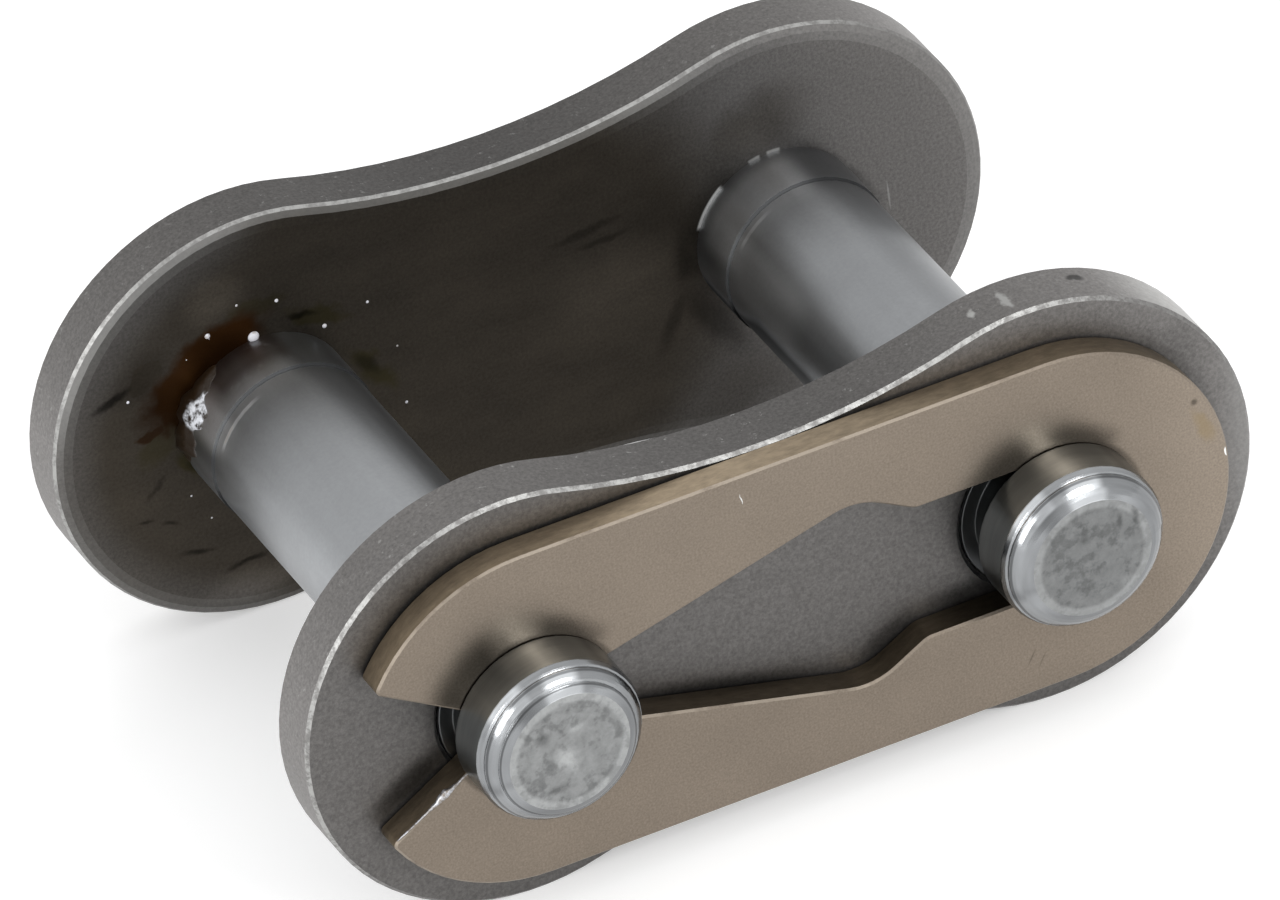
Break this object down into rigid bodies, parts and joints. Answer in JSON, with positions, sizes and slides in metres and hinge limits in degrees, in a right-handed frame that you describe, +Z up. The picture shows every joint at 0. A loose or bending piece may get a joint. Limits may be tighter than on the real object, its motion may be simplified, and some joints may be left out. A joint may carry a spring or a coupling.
{
  "type": "chain connecting link",
  "caption": "Spring-clip connecting link for a roller chain: waisted back plate with pressed-in pins, slip-fit cover plate and a flat keyhole clip.",
  "frame": {"origin": "bottom centre of the bounding box: midway between the two pins, midway along their length, at the foot of the plates' round lobes", "axes": "+X along the pitch towards the clip's closed end, +Y along the pins towards the back plate, +Z up across the plates"},
  "size_m": [0.023, 0.017, 0.0103],
  "materials": {
    "plate_steel": "dark tumbled heat-treated steel, matt",
    "pin_steel": "satin ground steel with bright turned rims",
    "clip_steel": "tempered spring steel, warm tan, matt"
  },
  "bodies": {
    "link": {"back_plate": "plate_steel", "left_pin": "pin_steel", "right_pin": "pin_steel"},
    "cover": {"cover_plate": "plate_steel"},
    "clip": {"spring_clip": "clip_steel"}
  },
  "joints": [
    {"name": "cover_slide", "type": "slide", "parent": "link", "child": "cover", "axis": [0, 1, 0], "range_m": [0, 0.0097]},
    {"name": "clip_release", "type": "slide", "parent": "link", "child": "clip", "axis": [1, 0, 0], "range_m": [0, 0.0051], "deforming": ["spring_clip"]}
  ]
}
